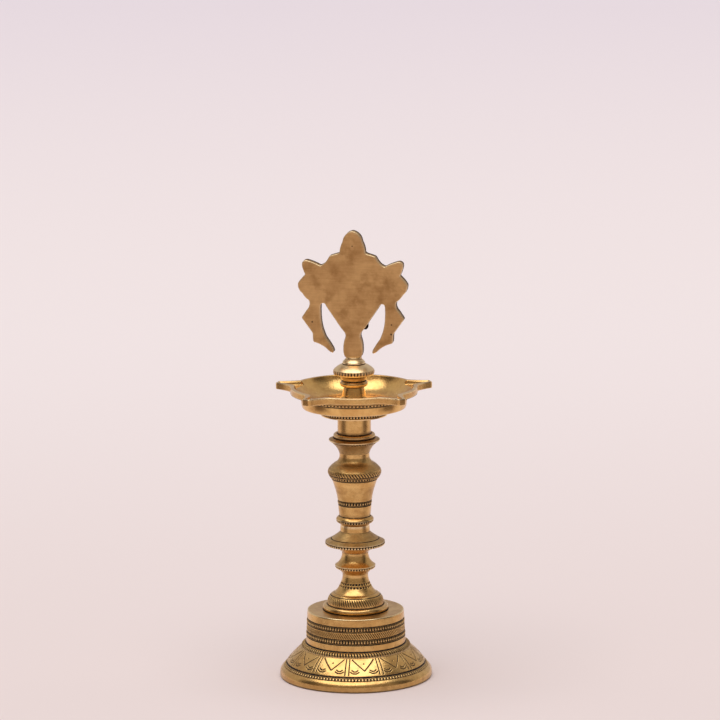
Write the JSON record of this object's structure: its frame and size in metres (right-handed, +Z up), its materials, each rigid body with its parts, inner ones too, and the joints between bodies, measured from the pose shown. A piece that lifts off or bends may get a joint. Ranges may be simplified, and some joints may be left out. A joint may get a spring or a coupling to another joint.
{
  "type": "oil lamp",
  "caption": "Standing brass oil lamp: hollow engraved foot, turned stem that unscrews, open oil dish with wick spouts, ring, knob and a flat cast plaque with a conch.",
  "frame": {"origin": "on the stem's axis, in the plane that the hollow foot stands on", "axes": "+Z up along the stem; the plaque's plain back looks towards -Y, turned nine degrees, and its conch towards +Y"},
  "size_m": [0.1054, 0.1058, 0.305],
  "materials": {
    "foot_brass": "polished cast brass, engraved, with dark patina in the grooves",
    "turned_brass": "turned and polished brass with beaded and hatched bands, dark patina in the grooves",
    "dish_brass": "polished brass with fine turning marks inside the bowl",
    "plaque_brass": "satin sand-cast brass, brown and mottled, polished at its edges",
    "fixing_steel": "plain steel, slightly dull"
  },
  "bodies": {
    "base": {"base": "foot_brass", "base_washer": "fixing_steel", "base_nut": "fixing_steel", "lower_stem": "turned_brass"},
    "stem_stud": {"stem_stud": "fixing_steel"},
    "stem": {"upper_stem": "turned_brass"},
    "dish": {"dish": "dish_brass", "ring": "turned_brass"},
    "finial_stud": {"finial_stud": "fixing_steel"},
    "finial": {"knob": "turned_brass", "plaque": "plaque_brass"}
  },
  "joints": [
    {"name": "stem_turn", "type": "hinge", "parent": "base", "child": "stem_stud", "pos_m": [0, 0, 0.1046], "axis": [0, 0, 1], "range_deg": [0, 3240]},
    {"name": "stem_rise", "type": "slide", "parent": "stem_stud", "child": "stem", "axis": [0, 0, 1], "range_m": [0, 0.01125]},
    {"name": "dish_turn", "type": "hinge", "parent": "stem", "child": "dish", "pos_m": [0, 0, 0.18], "axis": [0, 0, 1], "continuous": true},
    {"name": "finial_turn", "type": "hinge", "parent": "stem", "child": "finial_stud", "pos_m": [0, 0, 0.203], "axis": [0, 0, 1], "range_deg": [0, 2880]},
    {"name": "finial_rise", "type": "slide", "parent": "finial_stud", "child": "finial", "axis": [0, 0, 1], "range_m": [0, 0.008]}
  ],
  "couplings": [
    {"joint": "stem_turn", "follows": "stem_rise", "rad_per_m": 5026.5},
    {"joint": "finial_turn", "follows": "finial_rise", "rad_per_m": 6283.2}
  ]
}
